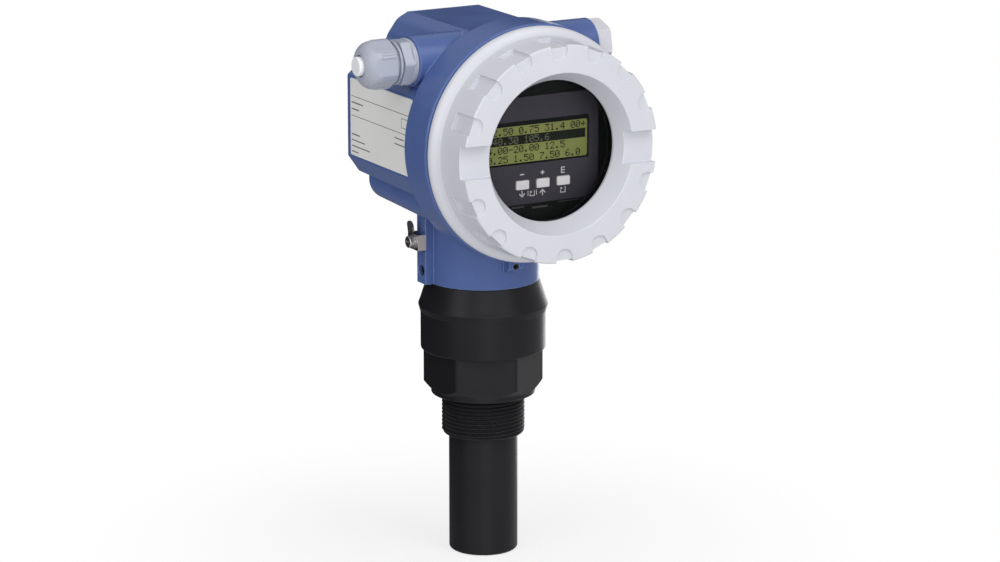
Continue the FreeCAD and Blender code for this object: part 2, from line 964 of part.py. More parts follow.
def pocket_outline(play):
    half = panel_half_width - pocket_margin - play
    bottom = panel_bottom + pocket_margin + play
    top = panel_top - pocket_margin - play
    return rectangle(half, bottom, top, panel_corner_radius)


def display_board():
    return on_cover_axis(prism(pocket_outline(board_play), board_back, board_front))


def display_holder():
    holder = turned([
        (0, holder_back, 0),
        (holder_r, holder_back, holder_back_radius),
        (holder_r, panel_back, holder_front_radius),
        (0, panel_back, 0),
    ])
    for side in (-1, 1):
        foot = V(side * pillar_offset, 0, module_front)
        holder = holder.fuse(Part.makeCylinder(pillar_r, holder_back + past - module_front, foot))
    holder = holder.cut(prism(pocket_outline(0), board_back, panel_back + past))
    return on_cover_axis(holder)


def key(x, z):
    """Push key with a flange behind the panel and a stem over its switch."""
    flange_front = panel_back - key_clearance
    flange_back_face = flange_front - key_flange_thickness
    stem_end_face = board_front + switch_height + key_travel + key_clearance
    cap = prism(key_outline(x, z, 0), flange_front, panel_front + key_proud)
    cap = cap.makeFillet(key_edge_radius, edges_at_height(cap, panel_front + key_proud))
    flange = prism(key_outline(x, z, key_flange_margin), flange_back_face, flange_front)
    stem = Part.makeCylinder(key_stem_r, flange_back_face - stem_end_face, V(x, z, stem_end_face))
    return on_cover_axis(cap.fuse(flange).fuse(stem).removeSplitter())


def key_switches():
    switches = []
    for x, z in key_places():
        edge = around(x, z, switch_size, switch_size, switch_corner_radius)
        switches.append(prism(edge, board_front, board_front + switch_height))
    return on_cover_axis(Part.makeCompound(switches))


def electronics_module():
    module = turned([
        (0, -module_back, 0),
        (module_r, -module_back, module_back_radius),
        (module_r, module_front, module_front_radius),
        (0, module_front, 0),
    ])
    return on_cover_axis(module)


def terminal_places():
    first = -(terminal_count - 1) * terminal_pitch / 2
    return [first + k * terminal_pitch for k in range(terminal_count)]


def terminal_block():
    """Stepped clamp strip: wires enter the low step, screws stand in the high one."""
    top_face = module_front + terminal_depth
    edge = rectangle(terminal_half_width, terminal_bottom, terminal_top, terminal_corner_radius)
    body = prism(edge, module_front, top_face)
    step = block(
        -terminal_half_width - past,
        terminal_half_width + past,
        terminal_bottom - past,
        terminal_bottom + terminal_step,
        top_face - terminal_step,
        top_face + past,
    )
    body = body.cut(step)
    well_r = terminal_screw_r + insert_clearance
    for x in terminal_places():
        well = V(x, terminal_screw_z, top_face - terminal_step)
        body = body.cut(Part.makeCylinder(well_r, terminal_step + past, well))
    return on_cover_axis(body)


def terminal_screws():
    floor = module_front + terminal_depth - terminal_step
    top = floor + terminal_screw_height
    half_slot = terminal_slot_width / 2
    screws = []
    for x in terminal_places():
        foot = V(x, terminal_screw_z, floor)
        head = Part.makeCylinder(terminal_screw_r, terminal_screw_height, foot)
        slot = block(
            x - terminal_screw_r - past,
            x + terminal_screw_r + past,
            terminal_screw_z - half_slot,
            terminal_screw_z + half_slot,
            top - terminal_slot_depth,
            top + past,
        )
        screws.append(head.cut(slot))
    return on_cover_axis(Part.makeCompound(screws))


def gland_gasket():
    return on_left_entry(ring(entry_gasket_r, entry_thread_r, entry_face, gland_start))


def gland_body():
    stub_r = entry_thread_r - thread_clearance
    stub_end = gland_start - gland_stub_length
    cup_floor = gland_thread_end - gland_cup_depth
    body = turned([
        (gland_bore_r, stub_end, 0),
        (stub_r, stub_end, gland_thread_edge),
        (stub_r, gland_start, 0),
        (gland_collar_r, gland_start, gland_edge),
        (gland_collar_r, gland_hex_start, gland_edge),
        (gland_thread_r, gland_hex_start, 0),
        (gland_thread_r, gland_shoulder_start, 0),
        (gland_shoulder_r, gland_shoulder_start, gland_edge),
        (gland_shoulder_r, gland_shoulder_end, gland_edge),
        (gland_thread_r, gland_shoulder_end, 0),
        (gland_thread_r, gland_thread_end, gland_thread_edge),
        (gland_cup_r, gland_thread_end, 0),
        (gland_cup_r, cup_floor, 0),
        (gland_bore_r, cup_floor, 0),
    ])
    corners = hexagon(gland_hex_across, gland_hex_turn)
    nut_flats = prism(corners, gland_hex_start - gland_edge, gland_hex_end)
    nut_flats = nut_flats.common(disc(gland_hex_corner_r, gland_start, gland_hex_end))
    nut_flats = nut_flats.cut(disc(gland_bore_r, gland_start, gland_hex_end + past))
    return on_left_entry(body.fuse(nut_flats).removeSplitter())


def gland_seal():
    end = gland_seal_start + gland_seal_length
    return on_left_entry(ring(gland_seal_r, pin_r + insert_clearance, gland_seal_start, end))


def gland_pin():
    pin = turned([
        (0, gland_seal_start - pin_tail, 0),
        (pin_r, gland_seal_start - pin_tail, pin_edge),
        (pin_r, nut_end + pin_proud, pin_edge),
        (0, nut_end + pin_proud, 0),
    ])
    return on_left_entry(pin)


def gland_nut():
    bore_r = gland_thread_r + turning_clearance
    thread_end = nut_start + nut_thread_depth
    nut = turned([
        (bore_r, nut_start, 0),
        (nut_r, nut_start, nut_base_radius),
        (nut_r, nut_end - nut_nose_length, nut_dome_radius),
        (nut_nose_r, nut_end, nut_nose_radius),
        (nut_hole_r, nut_end, 0),
        (nut_hole_r, nut_end - nut_nose_wall, 0),
        (bore_r, thread_end, 0),
    ])
    flats = prism(hexagon(nut_across_flats, nut_flat_turn), nut_start - past, nut_end + past)
    return on_left_entry(nut.common(flats))


def entry_seal():
    return on_right_entry(ring(plug_seal_r, entry_thread_r, entry_face, entry_face + plug_seal_thickness))


def entry_plug():
    start = entry_face + plug_seal_thickness
    end = start + plug_hex_length
    stub_r = entry_thread_r - thread_clearance
    head = prism(hexagon(plug_hex_across, plug_hex_turn), start, end)
    corner = plug_hex_across / math.sqrt(3)
    rounded = turned([
        (0, start, 0),
        (corner + past, start, 0),
        (corner + past, end - plug_hex_edge, 0),
        (corner - plug_hex_edge, end, 0),
        (0, end, 0),
    ])
    stub = disc(stub_r, start - gland_stub_length, start)
    return on_right_entry(head.common(rounded).fuse(stub).removeSplitter())


def ground_clamp():
    """Bent steel saddle: a front plate with two cheeks on the block and an upturned tab."""
    low = -clamp_height / 2
    high = clamp_height / 2
    half = clamp_width / 2
    z0 = neck_bottom + ground_height
    outside = block(-clamp_face, -block_face, block_middle - half, block_middle + half, z0 + low, z0 + high)
    inside = block(
        clamp_sheet - clamp_face,
        -block_face + past,
        block_middle - half + clamp_sheet,
        block_middle + half - clamp_sheet,
        z0 + low - past,
        z0 + high + past,
    )
    tab = prism(
        [
            (-past, half - clamp_tab_width, 0),
            (clamp_tab_rise, half - clamp_tab_width, clamp_tab_radius),
            (clamp_tab_rise, half, clamp_tab_radius),
            (-past, half, 0),
        ],
        -clamp_sheet,
        0,
    )
    tab.rotate(V(0, 0, 0), V(0, 1, 0), -clamp_tab_lean)
    tab = facing(tab, LEFT, V(-clamp_face, block_middle, z0 + high))
    hole = on_ground_screw(disc(ground_screw_r + screw_hole_clearance, block_face, clamp_face + past))
    return outside.cut(inside).fuse(tab).cut(hole).removeSplitter()


def ground_washer():
    hole_r = ground_screw_r + screw_hole_clearance
    return on_ground_screw(ring(ground_washer_r, hole_r, washer_face, washer_face + ground_washer_thickness))


def ground_screw():
    top = ground_head_face + ground_head_height
    tip = block_face - ground_hole_depth + ground_tip_play
    screw = turned([
        (0, tip, 0),
        (ground_screw_r, tip, ground_tip_radius),
        (ground_screw_r, ground_head_face, 0),
        (ground_head_r, ground_head_face, 0),
        (ground_head_r, top, ground_head_edge),
        (0, top, 0),
    ])
    half_w = ground_cross_width / 2
    half_l = ground_cross_length / 2
    for turn in (0, 90):
        arm = block(-half_l, half_l, -half_w, half_w, top - ground_cross_depth, top + past)
        arm.rotate(V(0, 0, 0), UP, turn)
        screw = screw.cut(arm)
    return on_ground_screw(screw)


def set_screw(radius, start, end, socket):
    screw = turned([
        (0, start, 0),
        (radius, start, lock_tip_radius),
        (radius, end, lock_edge_radius),
        (0, end, 0),
    ])
    return screw.cut(prism(hexagon(socket, 0), end - lock_socket_depth, end + past))


def swivel_lock_side():
    start = lock_floor_r + lock_tip_gap
    return on_side_lock(set_screw(side_lock_r, start, block_face - side_lock_recess, side_lock_socket))


def swivel_lock_front():
    start = lock_floor_r + lock_tip_gap
    end = neck_r + lug_reach - front_lock_recess
    return on_front_lock(set_screw(front_lock_r, start, end, front_lock_socket))


def all_pieces():
    pieces = {
        "sensor_body": sensor_body(),
        "matching_layer": matching_layer(),
        "piezo_disc": piezo_disc(),
        "backing_block": backing_block(),
        "sensor_lead": sensor_lead(),
        "sensor_plug": sensor_plug(),
        "housing_adapter": housing_adapter(),
        "swivel_seals": swivel_seals(),
        "retaining_ring": retaining_ring(),
        "housing": housing(),
        "nameplate": nameplate(),
        "front_cover": front_cover(),
        "window_glass": window_glass(),
        "glass_gasket": glass_gasket(),
        "glass_retainer": glass_retainer(),
        "cover_seal": cover_seal(),
        "display_panel": display_panel(),
        "display_holder": display_holder(),
        "lcd_module": lcd_module(),
        "display_board": display_board(),
        "key_switches": key_switches(),
        "electronics_module": electronics_module(),
        "terminal_block": terminal_block(),
        "terminal_screws": terminal_screws(),
        "gland_gasket": gland_gasket(),
        "gland_body": gland_body(),
        "gland_seal": gland_seal(),
        "gland_nut": gland_nut(),
        "gland_pin": gland_pin(),
        "entry_seal": entry_seal(),
        "entry_plug": entry_plug(),
        "ground_clamp": ground_clamp(),
        "ground_washer": ground_washer(),
        "ground_screw": ground_screw(),
        "swivel_lock_side": swivel_lock_side(),
        "swivel_lock_front": swivel_lock_front(),
    }
    for name, place in zip(("key_minus", "key_plus", "key_enter"), key_places()):
        pieces[name] = key(*place)
    return pieces


os.makedirs("parts", exist_ok=True)
for name, shape in all_pieces().items():
    shape.exportStep(os.path.join("parts", name + ".step"))
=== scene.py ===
import json
import math
from collections import namedtuple

import bmesh
import bpy
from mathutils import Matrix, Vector


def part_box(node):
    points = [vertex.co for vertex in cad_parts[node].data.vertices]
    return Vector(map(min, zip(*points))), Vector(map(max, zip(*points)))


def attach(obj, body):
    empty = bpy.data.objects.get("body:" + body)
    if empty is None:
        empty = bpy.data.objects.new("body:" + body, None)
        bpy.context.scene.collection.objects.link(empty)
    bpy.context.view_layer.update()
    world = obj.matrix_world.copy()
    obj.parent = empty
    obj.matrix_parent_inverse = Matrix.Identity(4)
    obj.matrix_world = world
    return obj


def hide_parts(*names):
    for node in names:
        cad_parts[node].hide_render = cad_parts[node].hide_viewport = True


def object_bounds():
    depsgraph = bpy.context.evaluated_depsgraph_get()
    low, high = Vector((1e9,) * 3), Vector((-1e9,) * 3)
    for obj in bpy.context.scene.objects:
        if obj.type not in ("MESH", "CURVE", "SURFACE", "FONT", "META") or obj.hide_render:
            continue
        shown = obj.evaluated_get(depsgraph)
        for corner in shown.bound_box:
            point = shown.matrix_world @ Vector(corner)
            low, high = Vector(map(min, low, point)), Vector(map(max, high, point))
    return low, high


# Looks of an ultrasonic level transmitter. Sizes are in millimetres unless a comment says metres,
# and MM turns them into the frame's metres. Angles are in degrees.

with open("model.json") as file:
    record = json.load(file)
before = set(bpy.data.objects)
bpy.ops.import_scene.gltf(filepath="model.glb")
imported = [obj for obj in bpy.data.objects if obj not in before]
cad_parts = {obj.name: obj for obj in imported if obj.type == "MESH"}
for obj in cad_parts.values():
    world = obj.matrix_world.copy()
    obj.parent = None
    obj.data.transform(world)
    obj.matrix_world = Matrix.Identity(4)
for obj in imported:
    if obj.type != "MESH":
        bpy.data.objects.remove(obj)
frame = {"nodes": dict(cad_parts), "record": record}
cad_low, cad_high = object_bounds()
nodes = frame["nodes"]
scene = bpy.context.scene
MM = 0.001
X = Vector((1, 0, 0))
Y = Vector((0, 1, 0))
Z = Vector((0, 0, 1))


# Places read from the frame, in metres

def middle(node):
    """Middle of a node's box."""
    low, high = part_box(node)
    return (low + high) / 2


cover_axis = middle("window_glass")
gland_axis = middle("gland_pin")

# A face that carries print: an origin on it, two directions in it and one out of it
Face = namedtuple("Face", "origin right up out")


def front_face(node):
    return Face(Vector((0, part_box(node)[0].y, cover_axis.z)), X, Z, -Y)


panel_face = front_face("display_panel")
holder_face = front_face("display_holder")
lcd_face = front_face("lcd_module")
plate_face = Face(Vector((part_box("nameplate")[0].x, 0, cover_axis.z)), -Y, Z, -X)


# Materials

NOISE_RANGE = (0.3, 0.7)  # where most values of a noise lie


def linear(red, green, blue):
    """Scene colour of a display colour given from 0 to 255."""
    return tuple(((c / 255 + 0.055) / 1.055) ** 2.4 for c in (red, green, blue))


def shade(colour, factor):
    return tuple(min(1.0, c * factor) for c in colour)


def new_shader(name):
    material = bpy.data.materials.new(name)
    material.use_nodes = True
    tree = material.node_tree
    return material, tree, tree.nodes["Principled BSDF"]


def noise(tree, size, detail=3.0, stretch=(1, 1, 1)):
    """Noise in the object's own space, with features of about the given size."""
    place = tree.nodes.new("ShaderNodeTexCoord")
    scale = tree.nodes.new("ShaderNodeMapping")
    scale.inputs["Scale"].default_value = stretch
    texture = tree.nodes.new("ShaderNodeTexNoise")
    texture.inputs["Scale"].default_value = 1 / (size * MM)
    texture.inputs["Detail"].default_value = detail
    tree.links.new(place.outputs["Object"], scale.inputs["Vector"])
    tree.links.new(scale.outputs["Vector"], texture.inputs["Vector"])
    return texture.outputs["Fac"]


def ramp(tree, factor, low_colour, high_colour):
    """Colour that follows a noise."""
    node = tree.nodes.new("ShaderNodeValToRGB")
    stops = zip(node.color_ramp.elements, NOISE_RANGE, (low_colour, high_colour))
    for stop, position, colour in stops:
        stop.position = position
        stop.color = (*colour, 1)
    tree.links.new(factor, node.inputs["Fac"])
    return node.outputs["Color"]


def map_range(tree, value, source, target, smooth=False):
    """Value taken from a source range to a target range, each given as a pair."""
    node = tree.nodes.new("ShaderNodeMapRange")
    node.interpolation_type = "SMOOTHSTEP" if smooth else "LINEAR"
    node.inputs["From Min"].default_value, node.inputs["From Max"].default_value = source
    node.inputs["To Min"].default_value, node.inputs["To Max"].default_value = target
    tree.links.new(value, node.inputs["Value"])
    return node.outputs["Result"]


def uneven(tree, factor, level, swing):
    """Value that follows a noise, a swing to each side of a level."""
    return map_range(tree, factor, NOISE_RANGE, (level - swing, level + swing))


def eased_normal(tree, radius):
    """Normal that rounds the edges off by a small radius."""
    node = tree.nodes.new("ShaderNodeBevel")
    node.samples = 4
    node.inputs["Radius"].default_value = radius * MM
    return node.outputs["Normal"]


def relief(tree, shader, height, depth, eased_edge=0.0):
    """Fine bump of a depth, over edges eased by a small radius."""
    bump = tree.nodes.new("ShaderNodeBump")
    bump.inputs["Strength"].default_value = 1.0
    bump.inputs["Distance"].default_value = depth * MM
    tree.links.new(height, bump.inputs["Height"])
    if eased_edge:
        tree.links.new(eased_normal(tree, eased_edge), bump.inputs["Normal"])
    tree.links.new(bump.outputs["Normal"], shader.inputs["Normal"])


def edge_factor(tree, reach):
    """0 on open surfaces and 1 along edges and creases, over a reach."""
    on_open = 0.995
    on_edge = 0.90
    plain = tree.nodes.new("ShaderNodeNewGeometry")
    likeness = tree.nodes.new("ShaderNodeVectorMath")
    likeness.operation = "DOT_PRODUCT"
    tree.links.new(eased_normal(tree, reach), likeness.inputs[0])
    tree.links.new(plain.outputs["Normal"], likeness.inputs[1])
    return map_range(tree, likeness.outputs["Value"], (on_open, on_edge), (0.0, 1.0))


def lighten(tree, factor, tint, colour):
    """Tint that goes over to another colour with a factor."""
    node = tree.nodes.new("ShaderNodeMix")
    node.data_type = "RGBA"
    factor_socket, tint_socket, colour_socket = (node.inputs[i] for i in (0, 6, 7))
    tree.links.new(factor, factor_socket)
    tree.links.new(tint, tint_socket)
    colour_socket.default_value = (*colour, 1)
    return node.outputs[2]


def solid_finish(name, colour, roughness, grain, depth, mottle=0.03, eased_edge=0.0,
                 painted_edge_highlight=None, specular=0.5):
    """Painted, moulded or cast surface with mottled colour, uneven gloss and a fine grain.

    colour and the edge colour are display colours. The edge colour is a paler colour painted along
    edges and creases as a painted highlight.
    """
    mottle_size = 25
    edge_reach = 0.6
    gloss_swing = 0.03
    material, tree, shader = new_shader(name)
    broad = noise(tree, mottle_size, detail=4)
    fine = noise(tree, grain)
    base = linear(*colour)
    tint = ramp(tree, broad, shade(base, 1 - mottle), shade(base, 1 + mottle))
    # Painted highlight: a paler colour along edges and creases, where lamps would catch the eased
    # edges.
    if painted_edge_highlight:
        tint = lighten(tree, edge_factor(tree, edge_reach), tint, linear(*painted_edge_highlight))
    tree.links.new(tint, shader.inputs["Base Color"])
    tree.links.new(uneven(tree, broad, roughness, gloss_swing), shader.inputs["Roughness"])
    relief(tree, shader, fine, depth, eased_edge)
    shader.inputs["Specular IOR Level"].default_value = specular
    return material


def metal_finish(name, colour, roughness):
    """Bare metal with fine brush marks. The colour is a scene colour."""
    mark_size = 0.5
    mark_depth = 0.002
    gloss_swing = 0.04
    material, tree, shader = new_shader(name)
    marks = noise(tree, mark_size, detail=4, stretch=(1, 6, 1))
    tree.links.new(ramp(tree, marks, shade(colour, 0.92), colour), shader.inputs["Base Color"])
    tree.links.new(uneven(tree, marks, roughness, gloss_swing), shader.inputs["Roughness"])
    relief(tree, shader, marks, mark_depth)
    shader.inputs["Metallic"].default_value = 1.0
    return material


def glass_finish():
    """Clear pane that lets the light through, with a faint dark tint and a coat of gloss."""
    film_size = 20
    clear = 0.02
    at_grazing = 0.60
    material, tree, shader = new_shader("window_glass")
    film = noise(tree, film_size)
    tint = ramp(tree, film, (0.02, 0.03, 0.03), (0.04, 0.05, 0.05))
    tree.links.new(tint, shader.inputs["Base Color"])
    tree.links.new(uneven(tree, film, 0.05, 0.02), shader.inputs["Roughness"])
    gloss = tree.nodes.new("ShaderNodeLayerWeight")
    gloss.inputs["Blend"].default_value = 0.25
    cover = map_range(tree, gloss.outputs["Fresnel"], (0.0, 1.0), (clear, at_grazing))
    tree.links.new(cover, shader.inputs["Alpha"])
    return material


def lcd_finish():
    """Yellow-green liquid crystal screen with its fine cells."""
    cell_size = 0.28
    cell_depth = 0.004
    mottle_size = 18
    material, tree, shader = new_shader("lcd_screen")
    green = linear(140, 147, 76)
    cells = noise(tree, cell_size, detail=1)
    broad = noise(tree, mottle_size)
    tint = ramp(tree, broad, shade(green, 0.88), shade(green, 1.06))
    tree.links.new(tint, shader.inputs["Base Color"])
    tree.links.new(uneven(tree, cells, 0.36, 0.06), shader.inputs["Roughness"])
    relief(tree, shader, cells, cell_depth)
    return material


# Finishes of the record's material slots. The paler edge colours of three of them are painted
# # highlights along edges and creases.
finishes = {
    "blue_paint": solid_finish(
        "blue_paint", (80, 102, 158), roughness=0.28, grain=0.9, depth=0.005,
        eased_edge=0.8, painted_edge_highlight=(150, 177, 215), specular=0.32),
    "light_paint": solid_finish(
        "light_paint", (213, 214, 222), roughness=0.34, grain=0.9, depth=0.010, mottle=0.015,
        eased_edge=0.2, painted_edge_highlight=(234, 235, 240), specular=0.35),
    "black_plastic": solid_finish(
        "black_plastic", (28, 27, 31), roughness=0.36, grain=0.5, depth=0.010, mottle=0.10,
        eased_edge=0.6, painted_edge_highlight=(52, 50, 54), specular=0.20),
    "gland_plastic": solid_finish(
        "gland_plastic", (172, 177, 192), roughness=0.36, grain=0.4, depth=0.010, eased_edge=0.3),
    "white_plastic": solid_finish(
        "white_plastic", (242, 243, 248), roughness=0.36, grain=0.4, depth=0.008, mottle=0.02,
        eased_edge=0.3),
    "panel_plastic": solid_finish(
        "panel_plastic", (64, 61, 70), roughness=0.42, grain=0.25, depth=0.006, mottle=0.06,
        specular=0.25),
    "rubber": solid_finish(
        "rubber", (26, 26, 27), roughness=0.62, grain=0.3, depth=0.012, mottle=0.10),
    "lcd": solid_finish(
        "lcd_frame", (18, 19, 18), roughness=0.40, grain=0.4, depth=0.003, mottle=0.10,
        specular=0.08),
    "board": solid_finish(
        "board", (34, 92, 58), roughness=0.40, grain=0.6, depth=0.01, mottle=0.08),
    "ceramic": solid_finish(
        "ceramic", (215, 208, 190), roughness=0.55, grain=0.3, depth=0.01, mottle=0.04),
    "label": solid_finish(
        "label", (234, 234, 232), roughness=0.38, grain=0.3, depth=0.004, mottle=0.02),
    "seal_grey": solid_finish(
        "seal_grey", (207, 208, 213), roughness=0.50, grain=0.3, depth=0.008),
    "steel": metal_finish("steel", (0.56, 0.54, 0.54), roughness=0.30),
    "dark_steel": metal_finish("dark_steel", (0.07, 0.07, 0.075), roughness=0.40),
    "brass": metal_finish("brass", (0.72, 0.56, 0.30), roughness=0.32),
    "glass": glass_finish(),
}

# Finishes of single parts and of print
worn_steel = metal_finish("worn_steel", (0.50, 0.46, 0.47), roughness=0.22)
plug_grey = solid_finish(
    "plug_plastic", (216, 215, 222), roughness=0.38, grain=0.4, depth=0.008, mottle=0.02,
    eased_edge=0.3)
key_finish = solid_finish(
    "key_plastic", (248, 244, 248), roughness=0.38, grain=0.3, depth=0.006, mottle=0.02,
    eased_edge=0.2)
deep_black = solid_finish(
    "deep_black", (20, 21, 21), roughness=0.45, grain=0.4, depth=0.006, mottle=0.10, specular=0.10)
ink_white = solid_finish(
    "ink_white", (222, 220, 224), roughness=0.50, grain=0.2, depth=0.003, mottle=0.04)
ink_grey = solid_finish(
    "ink_grey", (120, 122, 124), roughness=0.50, grain=0.2, depth=0.003, mottle=0.06)
ink_dim = solid_finish(
    "ink_dim", (70, 70, 72), roughness=0.50, grain=0.2, depth=0.003, mottle=0.10)
lcd_green = lcd_finish()
lcd_dark = solid_finish(
    "lcd_dark", (30, 32, 26), roughness=0.34, grain=0.28, depth=0.003, mottle=0.12, specular=0.08)
lcd_dim = solid_finish(
    "lcd_dim", (98, 101, 78), roughness=0.34, grain=0.28, depth=0.003, mottle=0.12)


def dress(thing, material):
    thing.data.materials.clear()
    thing.data.materials.append(material)


for part in frame["record"]["subparts"]:
    dress(nodes[part["node"]], finishes[part["material_slot"]])
for node, finish in {
    "key_minus": key_finish,
    "key_plus": key_finish,
    "key_enter": key_finish,
    "ground_clamp": worn_steel,
    "display_holder": deep_black,
    "entry_plug": plug_grey,
    "swivel_lock_front": finishes["dark_steel"],
}.items():
    dress(nodes[node], finish)


# Meshes

def new_piece(name, maker, body, material):
    """Mesh object made from a bmesh, riding on a body."""
    mesh = bpy.data.meshes.new(name)
    maker.normal_update()
    maker.to_mesh(mesh)
    maker.free()
    piece = bpy.data.objects.new(name, mesh)
    scene.collection.objects.link(piece)
    dress(piece, material)
    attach(piece, body)
    return piece


def add_slab(maker, face, points, thickness, sink=0.02):
    """Thin closed plate with an outline in a face's own axes, set a little into the face."""
    def place(u, v, out):
        return face.origin + (face.right * u + face.up * v + face.out * out) * MM

    turns = zip(points, points[1:] + points[:1])
    if sum(u0 * v1 - u1 * v0 for (u0, v0), (u1, v1) in turns) < 0:
        points = points[::-1]
    low = [maker.verts.new(place(u, v, -sink)) for u, v in points]
    high = [maker.verts.new(place(u, v, thickness)) for u, v in points]
    maker.faces.new(high)
    maker.faces.new(low[::-1])
    for i in range(len(points)):
        j = (i + 1) % len(points)
        maker.faces.new((low[i], low[j], high[j], high[i]))


def bar(u0, v0, u1, v1):
    return [(u0, v0), (u1, v0), (u1, v1), (u0, v1)]


def rounded_bar(u0, v0, u1, v1, radius, steps=6):
    points = []
    corners = ((u1 - radius, v1 - radius, 0), (u0 + radius, v1 - radius, 90),
               (u0 + radius, v0 + radius, 180), (u1 - radius, v0 + radius, 270))
    for u, v, start in corners:
        for k in range(steps + 1):
            angle = math.radians(start + 90 * k / steps)
            points.append((u + radius * math.cos(angle), v + radius * math.sin(angle)))
    return points


def printed(name, face, outlines, thickness, material):
    """One piece on the housing, made of many thin plates on a face."""
    maker = bmesh.new()
    for points in outlines:
        add_slab(maker, face, points, thickness)
    new_piece(name, maker, "housing", material)


# Threads, cut into copies of the plain cylinders. Heights run from the base along the axis.

Thread = namedtuple("Thread", "base axis crest depth pitch start end chamfer runout")
NORMAL_LAYER = "noted_normal"


def thread_cut(phase, depth):
    """Cut below the crest of a rounded V thread: none at phase 0.5, full at phase 0 and 1."""
    rounding = 0.35
    rise = 1 - abs(2 * (phase % 1) - 1)
    rounded_rise = 0.5 - 0.5 * math.cos(math.pi * rise)
    return depth * (1 - (rounding * rounded_rise + (1 - rounding) * rise))


def add_thread(maker, thread, columns=120, per_turn=10):
    """Right-hand helical surface of a thread."""
    side = thread.axis.orthogonal().normalized()
    other = thread.axis.cross(side)
    rows = int(per_turn * ((thread.end - thread.start) / thread.pitch + 1)) + 1
    grid = []
    for row in range(rows + 1):
        ring = []
        for column in range(columns + 1):
            lift = thread.pitch * (row / per_turn - 1 + column / columns)
            height = min(max(thread.start + lift, thread.start), thread.end)
            fade = min(1.0, (thread.end - height) / thread.runout)
            radius = thread.crest - thread_cut(row / per_turn, thread.depth) * fade
            radius = min(radius, thread.crest - thread.chamfer + (height - thread.start))
            angle = 2 * math.pi * column / columns
            spoke = side * math.cos(angle) + other * math.sin(angle)
            place = thread.base + (spoke * radius + thread.axis * height) * MM
            ring.append(maker.verts.new(place))
        grid.append(ring)
    for low, high in zip(grid, grid[1:]):
        for k in range(columns):
            maker.faces.new((low[k], low[k + 1], high[k + 1], high[k]))


def on_plain_cylinder(face, thread):
    """Whether a face belongs to the cylinder or chamfer that the thread stands for."""
    slack = 0.02
    end_face = 0.9
    if abs(face.normal.dot(thread.axis)) >= end_face:
        return False
    for vertex in face.verts:
        offset = (vertex.co - thread.base) / MM
        height = offset.dot(thread.axis)
        radius = (offset - thread.axis * height).length
        if not thread.start - slack <= height <= thread.end + slack:
            return False
        if not thread.crest - thread.chamfer - slack <= radius <= thread.crest + slack:
            return False
    return True


def note_normals(maker, mesh):
    """Keeps the normals that a mesh has at its face corners, in a layer of its bmesh copy."""
    layer = maker.loops.layers.float_vector.new(NORMAL_LAYER)
    corners = iter(mesh.corner_normals)
    for face in maker.faces:
        for loop in face.loops:
            loop[layer] = next(corners).vector


def restore_normals(mesh):
    """Gives old corners their noted normals. New ones have none and are shaded by angle."""
    sharp_angle = 28
    noted = mesh.attributes[NORMAL_LAYER]
    normals = [tuple(corner.vector) for corner in noted.data]
    mesh.attributes.remove(noted)
    mesh.shade_smooth()
    mesh.set_sharp_from_angle(angle=math.radians(sharp_angle))
    mesh.normals_split_custom_set(normals)


def threaded_copy(node, body, slot, thread):
    """Copy of a node with a thread in place of a plain cylinder."""
    weld = 0.001 * MM
    fine_weld = 0.0005 * MM
    maker = bmesh.new()
    maker.from_mesh(nodes[node].data)
    note_normals(maker, nodes[node].data)
    bmesh.ops.remove_doubles(maker, verts=maker.verts, dist=weld)
    plain = [face for face in maker.faces if on_plain_cylinder(face, thread)]
    bmesh.ops.delete(maker, geom=plain, context="FACES")
    add_thread(maker, thread)
    bmesh.ops.remove_doubles(maker, verts=maker.verts, dist=fine_weld)
    bmesh.ops.dissolve_degenerate(maker, edges=maker.edges, dist=fine_weld)
    piece = new_piece(node + "_threaded", maker, body, finishes[slot])
    restore_normals(piece.data)
    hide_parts(node)


def threads():
    cover_base = Vector((0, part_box("front_cover")[1].y, cover_axis.z))
    gland_base = Vector((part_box("gland_body")[0].x, gland_axis.y, gland_axis.z))
    threaded_copy("sensor_body", "sensor", "black_plastic", Thread(
        base=Vector((0, 0, 0)), axis=Z, crest=23.9, depth=1.4, pitch=2.309,
        start=-23.8, end=0.0, chamfer=1.2, runout=1.6))
    threaded_copy("front_cover", "cover", "light_paint", Thread(
        base=cover_base, axis=-Y, crest=60.95, depth=1.1, pitch=2.0,
        start=0.0, end=5.4, chamfer=0.5, runout=1.0))
    threaded_copy("gland_body", "housing", "gland_plastic", Thread(
        base=gland_base, axis=X, crest=10.4, depth=0.85, pitch=1.5,
        start=0.0, end=12.5, chamfer=0.5, runout=1.2))


# Grip ribs of the dome nut

def first_flat(node):
    """Direction round X, from Y, of a flat of a node's hexagon."""
    along_x = [face for face in nodes[node].data.polygons if abs(face.normal.x) < 0.01]
    normal = max(along_x, key=lambda face: face.area).normal
    return math.degrees(math.atan2(normal.z, normal.y))


def add_rib(maker, base, angle, half_angle, inner, outer, start, end, slope, steps=3):
    """Closed rib along -X on a cylinder, whose far end slopes down."""
    rows = []
    for radius, far in ((inner, end), (outer, end - slope)):
        for height in (start, far):
            row = []
            for k in range(steps + 1):
                turn = math.radians(angle + half_angle * (2 * k / steps - 1))
                spoke = Y * math.cos(turn) + Z * math.sin(turn)
                row.append(maker.verts.new(base + (spoke * radius - X * height) * MM))
            rows.append(row)
    low_near, low_far, high_near, high_far = rows
    loop = (high_near, high_far, low_far, low_near)
    for one, other in zip(loop, loop[1:] + loop[:1]):
        for k in range(steps):
            maker.faces.new((one[k], one[k + 1], other[k + 1], other[k]))
    for k in (0, steps):
        maker.faces.new([row[k] for row in loop])


